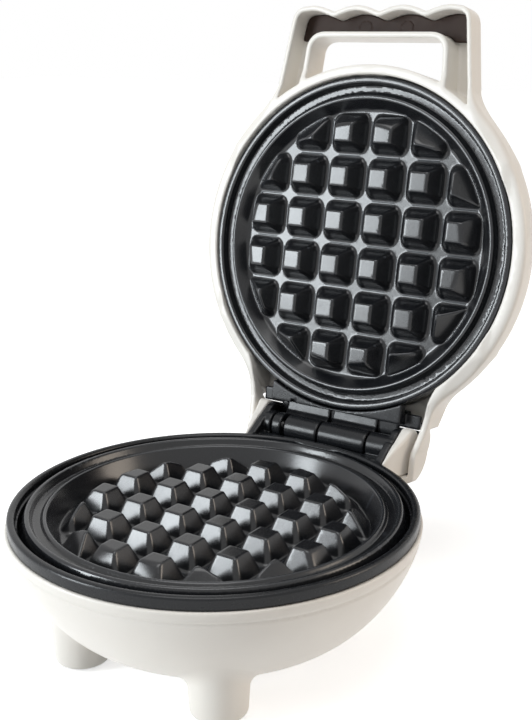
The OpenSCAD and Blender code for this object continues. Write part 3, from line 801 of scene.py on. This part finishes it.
def lid_pieces():
    """The shell, the frame, the lens, the pin and the strip."""
    step = 0.55
    field_piece("lid_housing", shell_field, (-63, -82, -9), (63, 78, 30), step, "lid", CREAM,
                ["lid_shell"], 0.6)
    step = 0.4
    field_piece("lid_inner_frame", lid_frame_field, (-60, -60, -5), (60, 78, 17), step, "lid",
                BLACK, ["lid_frame"], 0.6)
    indicator()
    pin()
    grip_shade_strip()


# ---------- studio ----------


CAMERA_AT = (0.18956, -0.27809, 0.18073)    # metres
CAMERA_TURN, CAMERA_LIFT = 33.81, 15.95     # degrees from straight ahead, and above level
CAMERA_LENS = 77.62                         # millimetres, on a sensor 36 wide
CAMERA_SHIFT = (-0.0023, -0.0077)
# Lamps as (name, turn, lift, distance, size, power, colour); see area_light
LAMPS = [
    ("window", -36, 13, 0.9, (0.25, 0.38), 6.0, (0.90, 0.96, 1.0)),
    ("top", 10, 75, 1.0, (0.7, 0.7), 4.5, (1.0, 1.0, 1.0)),
    ("warm_side", 112, 20, 1.2, (0.5, 0.6), 5.0, (1.0, 0.86, 0.72)),
]
LAMPS_FACE = Vector((0, 0.02, 0.09))
FLOOR_HALF = 3.0


def camera():
    """The photograph's viewpoint: close, from the right and a little above."""
    data = bpy.data.cameras.new("camera")
    view = bpy.data.objects.new("camera", data)
    bpy.context.collection.objects.link(view)
    view.location = CAMERA_AT
    view.rotation_euler = (math.pi / 2 - math.radians(CAMERA_LIFT), 0, math.radians(CAMERA_TURN))
    data.sensor_fit = "HORIZONTAL"
    data.sensor_width = 36
    data.lens = CAMERA_LENS
    data.shift_x, data.shift_y = CAMERA_SHIFT
    data.clip_start = 0.01
    bpy.context.scene.camera = view


def area_light(name, turn, lift, distance, size, power, colour):
    """A soft lamp that faces the object; turn 0 is in front, positive to the right."""
    data = bpy.data.lights.new(name, "AREA")
    data.shape = "RECTANGLE"
    data.size, data.size_y = size
    data.energy = power
    data.color = colour
    lamp = bpy.data.objects.new(name, data)
    bpy.context.collection.objects.link(lamp)
    a, e = math.radians(turn), math.radians(lift)
    way = Vector((math.sin(a) * math.cos(e), -math.cos(a) * math.cos(e), math.sin(e)))
    lamp.location = LAMPS_FACE + way * distance
    lamp.rotation_euler = way.to_track_quat("Z", "Y").to_euler()


def seen_directly(tree):
    """1 where the camera, a reflection or glass looks at it, 0 where it only lights others."""
    rays = tree.nodes.new("ShaderNodeLightPath")
    seen = rays.outputs["Is Camera Ray"]
    for kind in ("Is Glossy Ray", "Is Transmission Ray"):
        either = node(tree, "ShaderNodeMath")
        either.operation = "MAXIMUM"
        tree.links.new(seen, either.inputs[0])
        tree.links.new(rays.outputs[kind], either.inputs[1])
        seen = either.outputs[0]
    return seen


def white_room():
    """A world that looks white and lights the object softly."""
    world = bpy.data.worlds.new("white_room")
    bpy.context.scene.world = world
    world.use_nodes = True
    tree = world.node_tree
    tree.nodes.clear()
    soft = node(tree, "ShaderNodeBackground", Color=(0.86, 0.93, 1.0, 1), Strength=0.15)
    white = node(tree, "ShaderNodeBackground", Color=(1, 1, 1, 1), Strength=1.0)
    mix = tree.nodes.new("ShaderNodeMixShader")
    out = tree.nodes.new("ShaderNodeOutputWorld")
    tree.links.new(seen_directly(tree), mix.inputs[0])
    tree.links.new(soft.outputs[0], mix.inputs[1])
    tree.links.new(white.outputs[0], mix.inputs[2])
    tree.links.new(mix.outputs[0], out.inputs[0])


def white_table():
    """A pale floor that keeps the object's shadow and fades to white away from it."""
    corners = [(x * FLOOR_HALF, y * FLOOR_HALF, 0) for x, y in ((-1, -1), (1, -1), (1, 1), (-1, 1))]
    mesh = bpy.data.meshes.new("floor")
    mesh.from_pydata(corners, [], [(0, 1, 2, 3)])
    floor = bpy.data.objects.new("floor", mesh)
    bpy.context.collection.objects.link(floor)
    mat, tree, shader = material("white_table")
    grain = noise(tree, 90, 4)
    tree.links.new(mixed(tree, ranged(tree, grain, 0, 1), (0.88, 0.88, 0.88), (0.90, 0.90, 0.90)),
                   shader.inputs["Base Color"])
    shader.inputs["Roughness"].default_value = 0.9
    shader.inputs["Specular IOR Level"].default_value = 0.1
    glow = node(tree, "ShaderNodeEmission", Color=(1, 1, 1, 1))
    where = tree.nodes.new("ShaderNodeTexCoord")
    away = tree.nodes.new("ShaderNodeVectorMath")
    away.operation = "LENGTH"
    tree.links.new(where.outputs["Object"], away.inputs[0])
    tree.links.new(ranged(tree, away.outputs["Value"], 0.62, 1.0, 0.08, 0.32),
                   glow.inputs["Strength"])
    dark = node(tree, "ShaderNodeEmission", Color=(0, 0, 0, 1), Strength=0.0)
    lift = tree.nodes.new("ShaderNodeMixShader")
    add = tree.nodes.new("ShaderNodeAddShader")
    tree.links.new(seen_directly(tree), lift.inputs[0])
    tree.links.new(dark.outputs[0], lift.inputs[1])
    tree.links.new(glow.outputs[0], lift.inputs[2])
    tree.links.new(shader.outputs[0], add.inputs[0])
    tree.links.new(lift.outputs[0], add.inputs[1])
    tree.links.new(add.outputs[0], tree.nodes["Material Output"].inputs["Surface"])
    mesh.materials.append(mat)


def studio():
    """The white room, its table and its lamps."""
    white_room()
    white_table()
    for lamp in LAMPS:
        area_light(*lamp)
    bpy.context.scene.view_settings.view_transform = "Standard"


camera()
dress_cad_nodes()
cooking_plates()
base_pieces()
lid_pieces()
studio()
